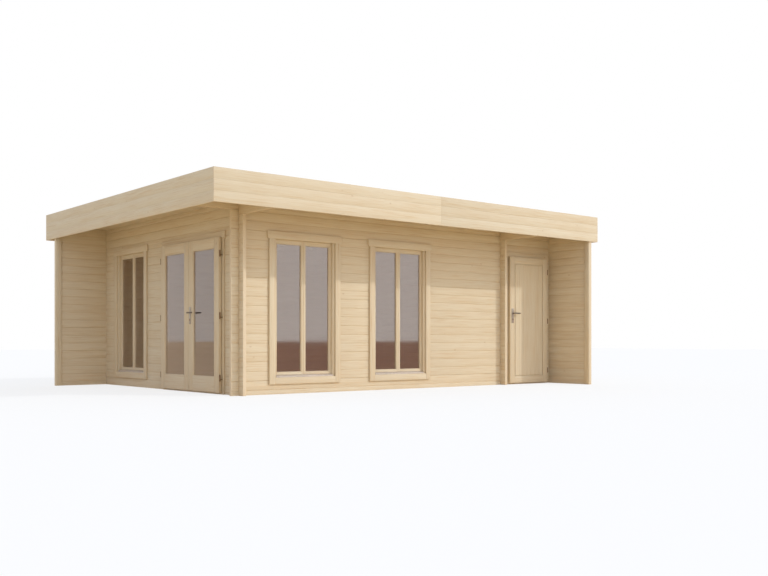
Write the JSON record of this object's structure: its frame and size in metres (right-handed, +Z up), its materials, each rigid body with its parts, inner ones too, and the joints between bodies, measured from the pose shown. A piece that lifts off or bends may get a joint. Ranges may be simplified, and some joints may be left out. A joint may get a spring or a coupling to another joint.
{
  "type": "wooden garden house",
  "caption": "Flat-roofed log garden house with a glazed double door, tall casement windows, a storeroom with its own door, and canopies along the front and one side.",
  "frame": {"origin": "on the ground under the middle of the roof's outline", "axes": "+X along the long front to the right, +Y from front to back, +Z up"},
  "size_m": [6.562, 5.071, 2.532],
  "materials": {
    "wall_logs": "planed spruce logs",
    "floor_wood": "planed floor boards",
    "roof_wood": "sawn softwood",
    "fascia_wood": "planed spruce boards",
    "joinery_wood": "planed glued softwood",
    "roofing_felt": "mineral felt",
    "glass": "clear pane",
    "drip_aluminium": "mill finish",
    "hinge_steel": "browned steel",
    "handle_steel": "satin"
  },
  "bodies": {
    "house": {"front_base_logs": "wall_logs", "front_piers": "wall_logs", "front_upper_logs": "wall_logs", "front_top_log": "wall_logs", "left_base_logs": "wall_logs", "left_piers": "wall_logs", "left_upper_logs": "wall_logs", "left_top_log": "wall_logs", "partition_wall": "wall_logs", "partition_top_log": "wall_logs", "right_end_wall": "wall_logs", "back_wall": "wall_logs", "end_boards": "wall_logs", "floor_bearers": "floor_wood", "floor_boards": "floor_wood", "roof_joists": "roof_wood", "roof_deck": "roof_wood", "roof_kerbs": "roof_wood", "long_fascias": "fascia_wood", "side_fascias": "fascia_wood", "window_frames": "joinery_wood", "window_sashes": "joinery_wood", "window_side_casings": "joinery_wood", "window_headers": "joinery_wood", "window_bottom_boards": "joinery_wood", "double_door_frame": "joinery_wood", "store_door_frame": "joinery_wood", "door_side_casings": "joinery_wood", "door_headers": "joinery_wood", "roof_felt": "roofing_felt", "window_glass": "glass", "window_drip_rails": "drip_aluminium", "door_frame_hinges": "hinge_steel"},
    "right_leaf": {"right_leaf": "joinery_wood", "right_leaf_glass": "glass", "right_leaf_hinges": "hinge_steel", "right_leaf_handle_plates": "handle_steel"},
    "right_lever": {"right_leaf_lever": "handle_steel"},
    "left_leaf": {"left_leaf": "joinery_wood", "left_leaf_glass": "glass", "left_leaf_hinges": "hinge_steel"},
    "store_leaf": {"store_leaf": "joinery_wood", "store_leaf_hinges": "hinge_steel", "store_leaf_handle_plates": "handle_steel"},
    "store_lever": {"store_leaf_lever": "handle_steel"}
  },
  "joints": [
    {"name": "right_leaf_swing", "type": "hinge", "parent": "house", "child": "right_leaf", "pos_m": [-2.545, -1.35976, 0], "axis": [0, 0, 1], "range_deg": [0, 105]},
    {"name": "left_leaf_swing", "type": "hinge", "parent": "house", "child": "left_leaf", "pos_m": [-2.545, 0.23224, 0], "axis": [0, 0, -1], "range_deg": [0, 105]},
    {"name": "store_leaf_swing", "type": "hinge", "parent": "house", "child": "store_leaf", "pos_m": [3.0185, -1.7675, 0], "axis": [0, 0, 1], "range_deg": [0, 90]},
    {"name": "right_lever_turn", "type": "hinge", "parent": "right_leaf", "child": "right_lever", "pos_m": [-2.534, -0.61676, 1.017], "axis": [1, 0, 0], "range_deg": [0, 40], "stiffness_Nm_per_rad": 1.5, "springref_deg": -22.92},
    {"name": "store_lever_turn", "type": "hinge", "parent": "store_leaf", "child": "store_lever", "pos_m": [2.2165, -1.7565, 1.075], "axis": [0, 1, 0], "range_deg": [0, 40], "stiffness_Nm_per_rad": 1.5, "springref_deg": -22.92}
  ]
}
